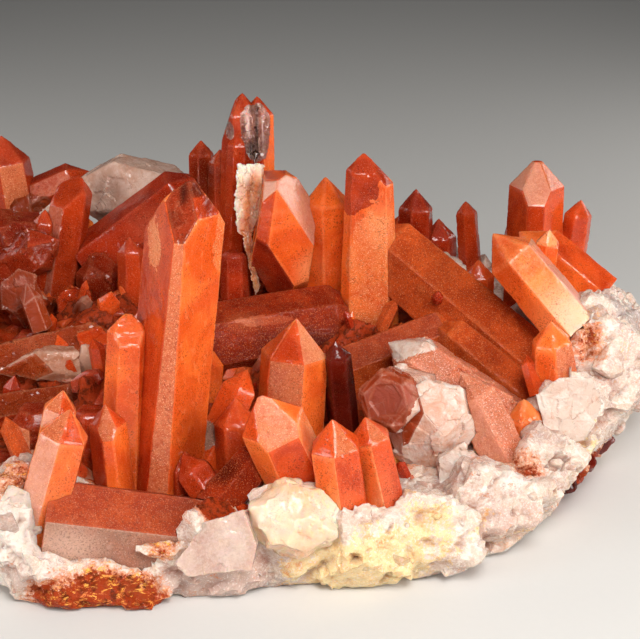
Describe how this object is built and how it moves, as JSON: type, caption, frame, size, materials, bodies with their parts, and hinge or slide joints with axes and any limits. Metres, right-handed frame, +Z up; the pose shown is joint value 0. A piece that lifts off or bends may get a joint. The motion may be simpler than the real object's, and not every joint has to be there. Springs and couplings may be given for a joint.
{
  "type": "ironstone quartz cluster",
  "caption": "Iron-stained quartz cluster: standing and lying orange crystals on a milky quartz plate that rests flat.",
  "frame": {"origin": "on the resting plane, under the middle of the whole cluster's bounding box", "axes": "+Z up, +X along the plate's long way with the highest rim at +X, the best side with the tall front crystals faces -Y"},
  "size_m": [0.165, 0.116, 0.0626],
  "materials": {
    "orange_quartz": "glossy, lightly etched, see-through in thin parts",
    "rust_quartz": "satin, dusted with fine iron oxide",
    "clear_quartz": "glossy broken faces, clouded inside",
    "milky_quartz": "rough sugary rock with ochre stains"
  },
  "bodies": {
    "root": {"tall_front_crystals": "orange_quartz", "small_front_crystal": "orange_quartz", "front_left_pair": "orange_quartz", "centre_crystal": "orange_quartz", "leaning_front_crystal": "orange_quartz", "front_twin_crystals": "orange_quartz", "shaded_small_crystal": "clear_quartz", "broad_standing_crystal": "orange_quartz", "back_spire": "orange_quartz", "pale_back_slab": "clear_quartz", "faceted_back_crystals": "orange_quartz", "bed_block_crystal": "orange_quartz", "right_crystal_group": "orange_quartz", "right_low_crystals": "orange_quartz", "leaning_right_crystal": "orange_quartz", "right_wedge_crystal": "orange_quartz", "big_lying_prism": "rust_quartz", "crossing_prism": "rust_quartz", "low_lying_prism": "rust_quartz", "broad_lying_prism": "rust_quartz", "lying_front_prism": "rust_quartz", "diagonal_front_prism": "rust_quartz", "front_stub_crystals": "rust_quartz", "centre_bed_crystals": "orange_quartz", "back_left_crystals": "orange_quartz", "back_lying_crystal": "orange_quartz", "pale_back_rock": "milky_quartz", "far_left_crystals": "orange_quartz", "far_left_slabs": "rust_quartz", "left_bed_slab": "rust_quartz", "left_lower_slab": "rust_quartz", "left_dark_block": "rust_quartz", "left_upright_block": "rust_quartz", "left_bed_fragment": "clear_quartz", "left_bed_crystal": "orange_quartz", "left_bed_lump": "rust_quartz", "broken_clear_block": "clear_quartz", "right_rim_crystal": "orange_quartz", "dusty_prism": "rust_quartz", "red_wedge": "orange_quartz", "back_right_crystals": "orange_quartz", "back_right_sliver": "orange_quartz", "back_right_block": "orange_quartz", "left_end_crystals": "orange_quartz", "left_end_back_crystals": "orange_quartz", "left_front_crystals": "orange_quartz", "left_end_prism": "rust_quartz", "left_front_prism": "rust_quartz", "back_middle_crystals": "orange_quartz", "back_left_leaning_crystal": "orange_quartz", "back_corner_crystals": "orange_quartz", "back_right_leaning_crystal": "orange_quartz", "back_lying_prism": "rust_quartz", "milky_quartz_plate": "milky_quartz"}
  },
  "joints": []
}
